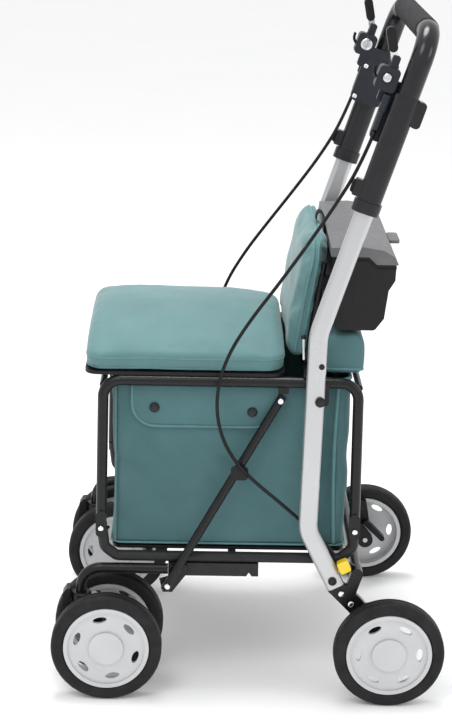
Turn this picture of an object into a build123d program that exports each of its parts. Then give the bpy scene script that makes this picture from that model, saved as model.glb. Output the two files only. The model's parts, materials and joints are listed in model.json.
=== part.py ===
from build123d import *
import os
from math import atan, cos, degrees, radians, sin, tan

# Folding four-wheel shopping trolley with a seat, a fabric bag, a storage box and hand brakes.
# Millimetres. +X is the way it rolls, +Y its left side, +Z up. The origin is on the floor,
# half way between the rear axle and the front caster axles.

# ---------------------------------------------------------------- driving dimensions
wheelbase = 420.0
wheel_radius = 82.5
wheel_width = 28.0
rim_radius = 63.5
axle_radius = 4.0
running_gap = 0.05
rear_wheel_y = 242.0

tube_y = 201.0                 # side tubes of the rear frame
tube_wide = 28.0
tube_thick = 15.0
tube_wall = 1.7
handle_lean = 18.0             # degrees that the upper tubes lean back
knee_x, knee_z = -92.0, 560.0  # upper bend of the side tube
ankle_x, ankle_z = -86.0, 259.0
tube_foot_x, tube_foot_z = -131.0, 170.0
tube_top_z = 840.0

leg_wide = 36.0                # plastic handle legs that slide on the side tubes
leg_thick = 24.0
leg_bottom_z = 740.0
leg_top_z = 905.0
grip_z = 990.0
grip_radius = 15.8

frame_y = 180.0                # basket frame
frame_radius = 8.0
rail_z = 481.0
frame_front_x, frame_rear_x = 217.5, -154.7
joint_z = 262.0
base_z = 206.0
fold_x, fold_z = -97.4, 461.0

brace_radius = 6.5
brace_top = (-44.0, 181.0, 460.0)
brace_foot = (125.0, 200.0, 160.0)

caster_y = 186.0
caster_x = 250.0
twin_offset = 46.0
arm_z = 188.0
arm_radius = 8.0

bag_y = 170.5
bag_front_x, bag_rear_x = 208.0, -146.0
bag_bottom_z, bag_top_z = 219.0, 486.0
bag_wall = 3.0

seat_y = 187.5
seat_rear_x, seat_front_x = -52.0, 250.0
seat_bottom_z, seat_top_z = 489.4, 562.0
seat_crown = 43.0              # the cushion is this much lower at its sides than at its middle
board_thick = 5.0

back_y = 150.0
box_y = 160.0
lid_y = 163.0
box_wall = 2.5

cable_radius = 2.6
gap = 0.4                      # clearance between pieces that only stand beside each other

lean = radians(handle_lean)
rear_x = -wheelbase / 2
axle_z = wheel_radius
caster_axle_x = wheelbase / 2


# ---------------------------------------------------------------- helpers
def save(part, name):
    part.label = name
    export_step(part, f"parts/{name}.step")


def mirrored(part):
    with BuildPart() as twin:
        mirror(part, about=Plane.XZ)
    return twin.part


def both_sides(part):
    with BuildPart() as pair:
        add(part)
        mirror(part, about=Plane.XZ)
    return pair.part


def leg_x(z):
    """Centre of the leaning upper tube at height z."""
    return knee_x - (z - knee_z) * tan(lean)


def leg_point(across, along, z):
    """A point beside the leaning leg: across it to the front, and along it from height z."""
    return (leg_x(z) + across * cos(lean) - along * sin(lean), z + across * sin(lean) + along * cos(lean))


def leg_plane(z, y):
    """Side-view plane at the leg's centre: x across the leg to the front, y up along it."""
    return Plane(origin=(leg_x(z), y, z), x_dir=(cos(lean), 0, sin(lean)), z_dir=(0, -1, 0))


def side_plane(y):
    """Side-view plane: x forward, y up, extruding towards -Y."""
    return Plane(origin=(0, y, 0), x_dir=(1, 0, 0), z_dir=(0, -1, 0))


def bent_bar(points, bends, radius):
    """A round bar or tube, drawn solid, along straight runs joined by arcs."""
    first = Vector(*points[0])
    with BuildPart() as bar:
        with BuildLine():
            if bends:
                FilletPolyline(*points, radius=bends)
            else:
                Polyline(*points)
        with BuildSketch(Plane(origin=first, z_dir=Vector(*points[1]) - first)):
            Circle(radius)
        sweep()
    return bar.part


def round_bar(start, end, radius):
    return bent_bar([start, end], None, radius)


def side_link(start, end, radius, y_out, y_in):
    """A flat link with round ends, seen from the side, between two (x, z) centres."""
    with BuildPart() as link:
        with BuildSketch(side_plane(y_out)):
            SlotCenterPoint(
                ((start[0] + end[0]) / 2, (start[1] + end[1]) / 2), end, 2 * radius
            )
        extrude(amount=y_out - y_in)
    return link.part


def side_disc(x, z, radius, y_out, y_in):
    with BuildPart() as disc:
        with BuildSketch(side_plane(y_out)):
            with Locations((x, z)):
                Circle(radius)
        extrude(amount=y_out - y_in)
    return disc.part


# ---------------------------------------------------------------- wheels
slot_count = 6
slot_ring = 45.5
outer_turn = 42.0              # the outer caster wheels stand turned by this much
slot_long, slot_short = 21.0, 9.5
hub_radius = 15.0
cap_radius = 25.5
bore_end = 9.0                 # the bore stops here, outward of the wheel's middle; the cap closes it
axle_end = 8.6
web_thick = 5.0
ring_thick = 6.0
bore_radius = axle_radius + running_gap


def wheel_tyre(x, y):
    centre = (x, y, axle_z)
    depth = wheel_radius - rim_radius
    with BuildPart() as tyre:
        with BuildSketch(Plane(origin=centre, x_dir=(1, 0, 0), z_dir=(0, 0, 1))):
            with Locations((rim_radius + depth / 2, 0)):
                RectangleRounded(depth, wheel_width, 6.5)
            with Locations((wheel_radius, 5), (wheel_radius, -5)):
                Rectangle(2.4, 1.6, mode=Mode.SUBTRACT)
        revolve(axis=Axis(centre, (0, 1, 0)))
    return tyre.part


def wheel_rim(x, y, outward, turn=0.0):
    """Moulded rim: outer ring, dished web with oval windows, hub barrel with its bore."""
    centre = (x, y, axle_z)
    half = wheel_width / 2 - 1.5
    face = half - 3.0
    with BuildPart() as rim:
        with BuildSketch(Plane(origin=centre, x_dir=(1, 0, 0), z_dir=(0, 0, 1))):
            with Locations((rim_radius - ring_thick / 2, 0)):
                Rectangle(ring_thick, 2 * half)
            with Locations(((rim_radius + hub_radius) / 2, outward * (face - web_thick / 2))):
                Rectangle(rim_radius - hub_radius, web_thick)
            with Locations(((hub_radius + bore_radius) / 2, outward * (bore_end - half) / 2)):
                Rectangle(hub_radius - bore_radius, bore_end + half)
            with Locations((cap_radius / 2, outward * (bore_end + 2))):
                Rectangle(cap_radius, 4)
        revolve(axis=Axis(centre, (0, 1, 0)))
        with BuildSketch(Plane(origin=(x, y - half, axle_z), x_dir=(1, 0, 0), z_dir=(0, 1, 0))):
            with PolarLocations(slot_ring, slot_count, start_angle=turn):
                Ellipse(slot_short / 2, slot_long / 2)
        extrude(amount=2 * half, mode=Mode.SUBTRACT)
    return rim.part


def rear_axle():
    """Rear wheel's axle: a shaft from the bracket into the wheel's hub, with a spacer sleeve."""
    with BuildPart() as shaft:
        add(side_disc(rear_x, axle_z, axle_radius, rear_wheel_y + axle_end, plate_in))
        add(side_disc(rear_x, axle_z, 7, rear_wheel_y - 13.1, plate_out + 0.2))
    return shaft.part


# ---------------------------------------------------------------- rear frame
def side_tube():
    """Silver flat-oval tube: upright between two bends, leaning back above and below."""
    top = (leg_x(tube_top_z), tube_y, tube_top_z)
    knee = (knee_x, tube_y, knee_z)
    ankle = (ankle_x, tube_y, ankle_z)
    foot = (tube_foot_x, tube_y, tube_foot_z)
    with BuildPart() as tube:
        with BuildLine():
            FilletPolyline(top, knee, ankle, foot, radius=[80, 42])
        with BuildSketch(
            Plane(origin=top, x_dir=(cos(lean), 0, sin(lean)), z_dir=(sin(lean), 0, -cos(lean)))
        ):
            SlotOverall(tube_wide, tube_thick)
            SlotOverall(tube_wide - 2 * tube_wall, tube_thick - 2 * tube_wall, mode=Mode.SUBTRACT)
        sweep()
        with BuildSketch(side_plane(tube_y + tube_thick)):
            with Locations((fold_x, fold_z)):
                Circle(pivot_radius + running_gap)
        extrude(amount=2 * tube_thick, mode=Mode.SUBTRACT)
    return tube.part


pivot_radius = 5.0
plate_out, plate_in = 206.0, 196.0
cross_x, cross_z = -161.5, 191.0
brake_pivot_x, brake_pivot_z = -203.0, 142.0
catch_x, catch_z = -141.5, 203.5


def rear_bracket():
    """Black casting from the tube's foot to the rear axle, with lugs for crossbar and catch."""
    with BuildPart() as bracket:
        with BuildSketch(side_plane(plate_out)):
            with BuildLine():
                Polyline(
                    (-119.4, 163.2),
                    (-143.8, 175.4),
                    (-169, 152),
                    (rear_x - 9.7, axle_z + 8.7),
                    (rear_x + 9.7, axle_z - 8.7),
                    (-149, 133),
                    close=True,
                )
            make_face()
            with Locations((rear_x, axle_z)):
                Circle(13)
        extrude(amount=plate_out - plate_in)
        add(side_link((-140.0, 152.2), (-112.3, 207.0), 6, plate_out - 0.6, plate_in + 0.6))
        add(side_link((-151.0, 158.0), (cross_x, cross_z), 9, plate_out, plate_in))
        add(side_disc(cross_x, cross_z, 9, plate_out, 184.0))
        add(side_link((cross_x, cross_z), (catch_x, catch_z), 6, 193.5, 189.0))
        add(side_link((-176.0, 138.0), (brake_pivot_x, brake_pivot_z), 8, 211.5, plate_out))
        add(side_disc(brake_pivot_x, brake_pivot_z, 4.0, 224.5, 211.5))
        add(side_disc(brake_pivot_x, brake_pivot_z, 6.0, 226.5, 224.5))
        with BuildSketch(side_plane(plate_out + 1)):
            with Locations((rear_x, axle_z)):
                Circle(axle_radius)
        extrude(amount=plate_out - plate_in + 2, mode=Mode.SUBTRACT)
        with BuildSketch(side_plane(194.0)):
            with Locations((catch_x, catch_z)):
                Circle(3.05)
        extrude(amount=6, mode=Mode.SUBTRACT)
    return bracket.part


def rear_crossbar():
    reach = 184.0
    with BuildPart() as bar:
        with BuildSketch(side_plane(reach)):
            with Locations((cross_x, cross_z)):
                Circle(8)
                Circle(6.5, mode=Mode.SUBTRACT)
        extrude(amount=2 * reach)
    return bar.part


def tube_screws():
    """Screw and rivet heads on the outer faces of the side tube and its bracket."""
    tube_face = tube_y + tube_thick / 2
    with BuildPart() as heads:
        add(side_disc(fold_x - 0.5, 514.0, 4.2, tube_face + 1.2, tube_face))
        add(side_disc(-125.0, 181.0, 6.5, tube_face + 2.0, tube_face))
        add(side_disc(-139.0, 160.0, 5.0, plate_out + 2.0, plate_out))
        add(side_disc(-154.0, 144.0, 5.0, plate_out + 2.0, plate_out))
    return heads.part


def fold_button():
    """Yellow release button of the frame lock, on its guide stem."""
    turn = degrees(atan((ankle_x - tube_foot_x) / (ankle_z - tube_foot_z)))
    with BuildPart() as button:
        with BuildSketch(side_plane(212.0)):
            with Locations(Location((catch_x, catch_z, 0), (0, 0, -turn))):
                RectangleRounded(17, 19, 4)
        extrude(amount=14)
        fillet(button.edges().group_by(Axis.Y)[-1], 2.0)
        add(side_disc(catch_x, catch_z, 3.0, 198.0, 191.5))
    return button.part


def brake_arm():
    """Brake link on the bracket's inner side, with the pressed-metal shoe towards the rim."""
    with BuildPart() as arm:
        add(side_link((brake_pivot_x, brake_pivot_z), (-208.0, 112.0), 9, 224.0, 218.0))
        add(side_link((-212.0, 108.0), (-240.0, 80.0), 4.5, 224.0, 210.0))
        with BuildSketch(side_plane(225.0)):
            with Locations((brake_pivot_x, brake_pivot_z)):
                Circle(4.0 + running_gap)
        extrude(amount=8, mode=Mode.SUBTRACT)
    return arm.part


# ---------------------------------------------------------------- basket frame
def basket_frame():
    """Black tube bent to an upside-down U, with the lug that carries the fold pivot."""
    with BuildPart() as frame:
        add(
            bent_bar(
                [
                    (frame_front_x + 3, frame_y, joint_z),
                    (frame_front_x, frame_y, rail_z),
                    (frame_rear_x, frame_y, rail_z),
                    (frame_rear_x - 2, frame_y, joint_z),
                ],
                [26, 26],
                frame_radius,
            )
        )
        with BuildSketch(side_plane(frame_y + frame_radius)):
            with Locations((fold_x, (fold_z - 13 + rail_z) / 2)):
                RectangleRounded(28, rail_z - fold_z + 13, 5)
        extrude(amount=7)
        with BuildSketch(side_plane(frame_y + 3)):
            with Locations((brace_top[0] - 1, rail_z - 9)):
                RectangleRounded(16, 17, 4)
        extrude(amount=6)
    return frame.part


def fold_pivot():
    """Shoulder pin that the rear frame turns on, with a black head outside the side tube."""
    lug_face = frame_y + frame_radius
    tube_face = tube_y + tube_thick / 2
    with BuildPart() as pin:
        add(side_disc(fold_x, fold_z, pivot_radius, tube_face + 0.5, lug_face))
        add(side_disc(fold_x, fold_z, 7.5, tube_face + 3.0, tube_face + 0.5))
    return pin.part


def basket_crossbars():
    """Cross tubes that hold the two basket frames apart, under the seat and behind the bag."""
    reach = frame_y - frame_radius - gap
    with BuildPart() as bars:
        with BuildSketch(side_plane(reach)):
            with Locations((frame_front_x + 1, rail_z - 10), (frame_rear_x - 2, rail_z - 10)):
                Circle(5)
        extrude(amount=2 * reach)
    return bars.part


def base_rail():
    """Side tube of the base frame, with both ends turned up to meet the basket frame."""
    return bent_bar(
        [
            (frame_front_x + 3, frame_y, joint_z - 1.5),
            (frame_front_x - 2, frame_y, base_z + 14),
            (frame_front_x - 20, frame_y, base_z),
            (frame_rear_x + 18, frame_y, base_z),
            (frame_rear_x - 1, frame_y, base_z + 18),
            (frame_rear_x - 2, frame_y, joint_z - 1.5),
        ],
        [14, 12, 12, 14],
        frame_radius,
    )


def base_frame():
    """The two base tubes and the cross tubes between them, welded into one ladder."""
    with BuildPart() as ladder:
        add(both_sides(base_rail()))
        for x in (150.0, 25.0, -100.0):
            with BuildSketch(Plane.XZ.offset(-frame_y)):
                with Locations((x, base_z + 1)):
                    Circle(6)
            extrude(amount=2 * frame_y)
    return ladder.part


def frame_rivets():
    """Fish plates and rivets where basket frame, base frame and brace are joined."""
    face = frame_y + frame_radius
    low_face = brace_foot[1] + brace_radius
    with BuildPart() as rivets:
        for x in (frame_front_x + 3, frame_rear_x - 2):
            add(side_link((x, joint_z - 16), (x, joint_z + 10), 8, face + 2.4, face))
            add(side_disc(x, joint_z - 9, 4.5, face + 4.6, face + 2.4))
        add(side_disc(brace_foot[0] - 4, brace_foot[2] + 8, 4.5, low_face + 2.2, low_face + 0.1))
        add(side_disc(brace_top[0] + 3, brace_top[2] - 5, 4.5, 190.4, 188.2))
    return rivets.part


def base_board():
    with BuildPart() as board:
        with BuildSketch(Plane.XY.offset(base_z + frame_radius + 0.2)):
            with Locations(((bag_front_x + bag_rear_x) / 2, 0)):
                RectangleRounded(bag_front_x - bag_rear_x - 6, 2 * bag_y, 14)
        extrude(amount=bag_bottom_z - base_z - frame_radius - 0.6)
    return board.part


rail_low_z = 177.5
rail_front_x, rail_back_x = 120.0, -15.0


def lower_rail():
    """Channel below the base tube that the caster arm plugs into, notched at its back end."""
    with BuildPart() as rail:
        with BuildSketch(side_plane(frame_y + 7)):
            with BuildLine():
                Polyline(
                    (rail_back_x, base_z - frame_radius - gap),
                    (rail_front_x, base_z - frame_radius - gap),
                    (rail_front_x, rail_low_z),
                    (rail_back_x + 18, rail_low_z),
                    (rail_back_x + 14, rail_low_z + 6),
                    (rail_back_x + 10, rail_low_z),
                    (rail_back_x, rail_low_z),
                    close=True,
                )
            make_face()
        extrude(amount=14)
    return rail.part


def brace():
    """Diagonal brace tube from under the top rail to the foot bracket."""
    return round_bar(brace_top, brace_foot, brace_radius)


def brace_foot_bracket():
    """Plate below the lower rail that holds the brace's foot, with its two rivets."""
    face = frame_y + 7
    with BuildPart() as foot:
        with BuildSketch(side_plane(face + 4)):
            with BuildLine():
                Polyline(
                    (92, 196), (117, 196), (117, 178), (133, 173), (128, 152), (114, 152), (92, 182), close=True
                )
            make_face()
        extrude(amount=4 - gap)
        add(side_disc(122.7, 164.0, 4.5, 192.9, face + 4))
    return foot.part


def cable_clip():
    """Clip on the brace that holds the brake cable."""
    share = (brace_top[2] - 345.0) / (brace_top[2] - brace_foot[2])
    x = brace_top[0] + share * (brace_foot[0] - brace_top[0])
    y = brace_top[1] + share * (brace_foot[1] - brace_top[1])
    with BuildPart() as clip:
        with BuildSketch(Plane(origin=(x, 0, 345), x_dir=(1, 0, 0), z_dir=(0, -1, 0))):
            with Locations((-4, 0)):
                RectangleRounded(26, 22, 6)
        extrude(amount=-(y + brace_radius + 1.9))
        with BuildSketch(Plane(origin=(x, 0, 345), x_dir=(1, 0, 0), z_dir=(0, -1, 0))):
            with Locations((-4, 0)):
                Rectangle(60, 60)
        extrude(amount=-(y + brace_radius + 0.9), mode=Mode.SUBTRACT)
    return clip.part


# ---------------------------------------------------------------- casters
def caster_arm():
    """Tube from the lower rail forward, bent down to the caster head."""
    return bent_bar(
        [
            (rail_front_x + gap, caster_y, arm_z),
            (caster_x, caster_y, arm_z),
            (caster_x, caster_y, 150.0),
        ],
        [30],
        arm_radius,
    )


head_top_z, head_low_z = 150.0 - 0.2, 128.0
stem_radius = 5.0


def caster_head():
    """Swivel bearing housing at the end of the caster arm."""
    with BuildPart() as head:
        with BuildSketch(Plane.XY.offset(head_low_z)):
            with Locations((caster_x, caster_y)):
                Circle(15)
        extrude(amount=head_top_z - head_low_z)
        with BuildSketch(Plane.XY.offset(head_low_z)):
            with Locations((caster_x, caster_y)):
                Circle(stem_radius + running_gap)
        extrude(amount=14, mode=Mode.SUBTRACT)
        chamfer(head.edges().group_by(Axis.Z)[-1], 2)
    return head.part


def caster_lock():
    """Wedge-shaped pedal in front of the caster head that locks its swivel."""
    with BuildPart() as wedge:
        with BuildSketch(side_plane(caster_y + 11)):
            with BuildLine():
                Polyline((266, 158), (272, 157), (277.5, 149), (277.5, 127), (266, 132), close=True)
            make_face()
        extrude(amount=22)
    return wedge.part


def caster_fork():
    """Swivel fork between the twin wheels: round top, stem, and a body down to the axle."""
    with BuildPart() as fork:
        with BuildSketch(Plane.XY.offset(head_low_z - 0.4)):
            with Locations((caster_x, caster_y)):
                Circle(16)
        extrude(amount=-9)
        with BuildSketch(side_plane(caster_y + 15)):
            with BuildLine():
                Polyline(
                    (caster_x + 14, head_low_z - 6),
                    (caster_x - 20, head_low_z - 6),
                    (caster_axle_x - 14, axle_z + 4),
                    (caster_axle_x - 10, axle_z - 12),
                    (caster_axle_x + 12, axle_z - 12),
                    (caster_x + 14, head_low_z - 24),
                    close=True,
                )
            make_face()
        extrude(amount=30)
        with BuildSketch(Plane.XY.offset(head_low_z - 4)):
            with Locations((caster_x, caster_y)):
                Circle(stem_radius)
        extrude(amount=16)
        add(caster_axle())
    return fork.part


def caster_axle():
    """Through axle of the twin wheels, with a spacer sleeve on each side of the fork."""
    reach = twin_offset + axle_end
    with BuildPart() as axle:
        add(side_disc(caster_axle_x, axle_z, axle_radius, caster_y + reach, caster_y - reach))
        add(side_disc(caster_axle_x, axle_z, 7, caster_y + twin_offset - 13.1, caster_y + 14.9))
        add(side_disc(caster_axle_x, axle_z, 7, caster_y - 14.9, caster_y - twin_offset + 13.1))
    return axle.part


# ---------------------------------------------------------------- bag, seat, backrest, box
def bag():
    """Open-topped fabric bag as a plain shell with rounded upright corners."""
    centre_x = (bag_front_x + bag_rear_x) / 2
    length = bag_front_x - bag_rear_x
    with BuildPart() as shell:
        with BuildSketch(Plane.XY.offset(bag_bottom_z)):
            with Locations((centre_x, 0)):
                RectangleRounded(length, 2 * bag_y, 16)
        extrude(amount=bag_top_z - bag_bottom_z)
        with BuildSketch(Plane.XY.offset(bag_bottom_z + bag_wall)):
            with Locations((centre_x, 0)):
                RectangleRounded(length - 2 * bag_wall, 2 * (bag_y - bag_wall), 13)
        extrude(amount=bag_top_z - bag_bottom_z, mode=Mode.SUBTRACT)
    return shell.part


flap_front_x, flap_rear_x = 176.0, -37.0
flap_low_z = 409.0
flap_y = 173.6


def pocket_flap():
    """Flap of the side pocket, hanging outside the bag's left wall."""
    with BuildPart() as flap:
        with BuildSketch(side_plane(flap_y)):
            with Locations(((flap_front_x + flap_rear_x) / 2, (flap_low_z + 472.5) / 2)):
                Rectangle(flap_front_x - flap_rear_x, 472.5 - flap_low_z)
            fillet(vertices().group_by(Axis.Y)[0], 34)
        extrude(amount=flap_y - bag_y - 0.4)
    return flap.part


def flap_snaps():
    with BuildPart() as snaps:
        add(side_disc(143.0, 438.0, 7.5, flap_y + 2.4, flap_y))
        add(side_disc(-0.5, 433.0, 7.5, flap_y + 2.4, flap_y))
    return snaps.part


def rear_cover():
    """Stuffed fabric cover over the back of the bag, behind the backrest."""
    with BuildPart() as cover:
        with BuildSketch(side_plane(171.0)):
            with BuildLine():
                Polyline((-100, 491), (-100, 540), (-108, 548), (-150, 551), (-163, 540), (-163, 491), close=True)
            make_face()
        extrude(amount=342)
        fillet(cover.edges().filter_by(Axis.Y), 5)
    return cover.part


def seat_board():
    with BuildPart() as board:
        with BuildSketch(Plane.XY.offset(seat_bottom_z)):
            with Locations(((seat_rear_x + seat_front_x) / 2, 0)):
                RectangleRounded(seat_front_x - seat_rear_x - 10, 2 * seat_y - 10, 20)
        extrude(amount=board_thick)
    return board.part


def seat_pad():
    """Seat cushion: upright sides with rounded corners under a crowned top."""
    bottom = seat_bottom_z + board_thick + 0.2
    crown_radius = (seat_y**2 + seat_crown**2) / (2 * seat_crown)
    with BuildPart() as pad:
        with BuildSketch(Plane.XY.offset(bottom)):
            with Locations(((seat_rear_x + seat_front_x) / 2, 0)):
                RectangleRounded(seat_front_x - seat_rear_x, 2 * seat_y, 30)
        extrude(amount=seat_top_z - bottom)
        with BuildSketch(Plane.YZ.offset(seat_rear_x - 10)):
            with Locations((0, seat_top_z - crown_radius)):
                Circle(crown_radius)
        extrude(amount=seat_front_x - seat_rear_x + 20, mode=Mode.INTERSECT)
        fillet(pad.faces().sort_by(Axis.Z)[-1].edges(), 12)
    return pad.part


back_foot_x, back_foot_z = -73.7, 500.0
back_top_z = 694.0
back_lean = 8.8
back_thick = 19.0


def back_plane(offset):
    """Plane of the backrest's rear face, shifted forward by offset; its y runs up the backrest."""
    turn = radians(back_lean)
    normal = Vector(cos(turn), 0, sin(turn))
    return Plane(
        origin=Vector(back_foot_x, 0, back_foot_z) + normal * offset, x_dir=(0, 1, 0), z_dir=normal
    )


def backrest_pad():
    tall = (back_top_z - back_foot_z) / cos(radians(back_lean))
    with BuildPart() as pad:
        with BuildSketch(back_plane(0)):
            with Locations((0, tall / 2)):
                Rectangle(2 * back_y, tall)
            fillet(vertices().group_by(Axis.Y)[-1], 60)
            fillet(vertices().group_by(Axis.Y)[0], 12)
        extrude(amount=back_thick)
        fillet(pad.edges().group_by(Axis.X)[-1], 5)
    return pad.part


def backrest_posts():
    """Posts behind the backrest on a bar across the top rails, with hooks for the storage box."""
    post_y = 130.0
    shift = 5.0
    low, high = 494.0, 650.0
    slope = tan(radians(back_lean))
    x_low = back_foot_x - (low - back_foot_z) * slope - shift
    x_high = back_foot_x - (high - back_foot_z) * slope - shift
    reach = frame_y + 6
    with BuildPart() as posts:
        add(both_sides(round_bar((x_low, post_y, low), (x_high, post_y, high), 4.6)))
        for y in (post_y, -post_y):
            with BuildSketch(side_plane(y + 6)):
                with Locations((-105.4, 620)):
                    Rectangle(15.6, 20)
            extrude(amount=12)
        with BuildSketch(side_plane(reach)):
            with Locations((x_low, low)):
                Circle(4.6)
        extrude(amount=2 * reach)
    return posts.part


def backrest_strap():
    """Black loop sewn to the top of the backrest and hooked down behind it."""
    start = (-94.0, 18, 697.5)
    with BuildPart() as strap:
        with BuildLine():
            FilletPolyline(start, (-95.5, 18, 703.5), (-106.6, 18, 700.0), (-106.9, 18, 668), radius=[4, 6])
        with BuildSketch(Plane(origin=start, z_dir=(-1.5, 0, 8), x_dir=(0, 1, 0))):
            Rectangle(24, 1.4)
        sweep()
    return strap.part


def storage_box():
    """Moulded box that hangs behind the backrest: waisted at its back, its top stepped down."""
    with BuildPart() as box:
        with BuildSketch(side_plane(box_y)):
            with BuildLine():
                Polyline(
                    (-112, 665),
                    (-118, 556),
                    (-176, 556),
                    (-189, 574),
                    (-194, 616),
                    (-203, 631),
                    (-204, 654),
                    (-176, 654),
                    (-164, 665),
                    close=True,
                )
            make_face()
        extrude(amount=2 * box_y)
        fillet(box.edges().filter_by(Axis.Y).group_by(Axis.Z)[0], 8)
        with BuildSketch(side_plane(box_y - box_wall)):
            with BuildLine():
                Polyline(
                    (-114.5, 666),
                    (-120.2, 558.5),
                    (-174.5, 558.5),
                    (-186.4, 575),
                    (-191.4, 617),
                    (-200.4, 632),
                    (-201.4, 655),
                    (-201.4, 666),
                    close=True,
                )
            make_face()
        extrude(amount=2 * (box_y - box_wall), mode=Mode.SUBTRACT)
    return box.part


def box_lid():
    """Lid of the storage box: flat at the front, rounded down at the back, with a finger tab."""
    rim = [(-163.5, 666), (-175.5, 655)]
    outer = [(-109, 666), (-109, 679), (-155, 681), (-185, 676), (-201, 667), (-207, 655)]
    inner = [(-111.5, 666), (-111.5, 676.5), (-155, 678.5), (-184, 673.5), (-199, 665), (-204.4, 655)]
    with BuildPart() as lid:
        with BuildSketch(side_plane(lid_y)):
            with BuildLine():
                Polyline(*outer, *reversed(rim), close=True)
            make_face()
        extrude(amount=2 * lid_y)
        with BuildSketch(side_plane(lid_y - 2.5)):
            with BuildLine():
                Polyline(*inner, (-204.4, 650), (-111.5, 650), close=True)
            make_face()
        extrude(amount=2 * lid_y - 5, mode=Mode.SUBTRACT)
        with BuildSketch(Plane.XY.offset(656)):
            with Locations((-213, 0)):
                RectangleRounded(16, 56, 5)
        extrude(amount=4.5)
    return lid.part


# ---------------------------------------------------------------- handle
def handle_leg():
    """Plastic leg that slides on the silver tube, with its collar and button boss."""
    foot = (leg_x(leg_bottom_z), tube_y, leg_bottom_z)
    up = Plane(origin=foot, x_dir=(cos(lean), 0, sin(lean)), z_dir=(-sin(lean), 0, cos(lean)))
    tall = (leg_top_z - leg_bottom_z) / cos(lean)
    with BuildPart() as leg:
        with BuildSketch(up):
            SlotOverall(leg_wide, leg_thick)
        extrude(amount=tall)
        with BuildSketch(up):
            SlotOverall(leg_wide + 5, leg_thick + 5)
        extrude(amount=17)
        with BuildSketch(leg_plane(886, tube_y + 8)):
            with Locations((-22, 0)):
                RectangleRounded(15, 38, 6)
        extrude(amount=16)
        with BuildSketch(leg_plane(770, tube_y + 7)):
            with Locations((21.5, 0)):
                RectangleRounded(12, 24, 2)
        extrude(amount=14)
        with BuildSketch(up):
            SlotOverall(tube_wide + 1, tube_thick + 1)
        extrude(amount=tall, mode=Mode.SUBTRACT)
        with BuildSketch(leg_plane(770, tube_y + 4.2)):
            with Locations((25, 0)):
                Rectangle(13, 18.4)
        extrude(amount=8.4, mode=Mode.SUBTRACT)
    return leg.part


def height_button():
    """Spring button that frees the leg to slide on the tube."""
    with BuildPart() as button:
        with BuildSketch(leg_plane(770, tube_y + 4)):
            with Locations((26.6, 0)):
                RectangleRounded(8.8, 18, 2)
        extrude(amount=8)
    return button.part


def handle_grip():
    """Foam-covered hoop: up from one leg, across, and down to the other."""
    low = leg_top_z + 0.3
    return bent_bar(
        [
            (leg_x(low), tube_y, low),
            (leg_x(grip_z), tube_y, grip_z),
            (leg_x(grip_z), -tube_y, grip_z),
            (leg_x(low), -tube_y, low),
        ],
        [42, 42],
        grip_radius,
    )


mount_z = 931.0
housing_z = 872.0
lever_y = 190.0


def brake_housing():
    """Lever housing on the leg's inner side, its clevis and pin in front, and the cable adjuster."""
    pin_x, pin_z = leg_point(32, 10, mount_z)
    with BuildPart() as housing:
        with BuildSketch(leg_plane(housing_z, tube_y - leg_thick / 2 - gap)):
            with Locations((5, -6)):
                RectangleRounded(50, 70, 9)
        extrude(amount=12)
        with BuildSketch(leg_plane(mount_z, 199.0)):
            with Locations((34.5, -15)):
                RectangleRounded(30, 34, 6)
        extrude(amount=22)
        with BuildSketch(leg_plane(mount_z, 185.0)):
            with Locations((16, -32)):
                RectangleRounded(44, 34, 4)
        extrude(amount=8)
        with BuildSketch(leg_plane(mount_z, 203.0)):
            with Locations((36, -13)):
                Circle(5)
        extrude(amount=5)
        for y in (196.8, 185.2):
            with BuildSketch(leg_plane(mount_z, y)):
                with Locations((32, 8)):
                    RectangleRounded(11, 22, 3)
            extrude(amount=3.4)
        add(side_disc(pin_x, pin_z, 2.5, 198.0, 180.8))
        add(round_bar((-176.5, 193, 902), (-161.5, 193, 856), 4.6))
        add(round_bar((-177.5, 193, 905), (-170, 193, 882), 6.4))
    return housing.part


def brake_lever():
    """Pressed aluminium lever blade on the housing's pin."""
    x, z = leg_point(32, 10, mount_z)
    with BuildPart() as lever:
        add(side_link((x, z), (x + 3.6, z + 22), 5, lever_y + 2, lever_y - 3))
        add(side_link((x + 3.6, z + 22), (x + 7.0, z + 38), 3, lever_y + 1, lever_y - 2))
        with BuildSketch(side_plane(lever_y + 3)):
            with Locations((x, z)):
                Circle(2.5 + running_gap)
        extrude(amount=7, mode=Mode.SUBTRACT)
    return lever.part


def lever_grip():
    """Black sleeve on the lever's end."""
    x, z = leg_point(32, 10, mount_z)
    with BuildPart() as sleeve:
        add(side_link((x + 3.6, z + 20), (x + 7.8, z + 42), 6.5, lever_y + 5, lever_y - 6))
        add(side_link((x, z), (x + 3.6, z + 22), 5.1, lever_y + 2.1, lever_y - 3.1), mode=Mode.SUBTRACT)
        add(
            side_link((x + 3.6, z + 22), (x + 7.0, z + 38), 3.1, lever_y + 1.1, lever_y - 2.1),
            mode=Mode.SUBTRACT,
        )
    return sleeve.part


# Brake cable: from the adjuster, bowed forward in the air, under the clip on the brace, behind
# the side tube and down to the rear bracket.
cable_points = [
    (-161.2, 193.0, 855.2),
    (-142.0, 191.5, 803.0),
    (-110.0, 192.5, 748.0),
    (-72.0, 202.0, 692.0),
    (-32.0, 211.5, 636.0),
    (6.0, 211.5, 584.0),
    (38.0, 210.0, 530.0),
    (53.0, 207.0, 474.0),
    (50.0, 204.0, 420.0),
    (30.0, 201.5, 372.0),
    (-2.0, 199.0, 336.0),
    (-44.0, 190.5, 298.0),
    (-88.0, 185.5, 257.0),
    (-122.0, 191.0, 225.0),
]
cable_lead = (-127.5, 193.5, 217.0)


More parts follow.
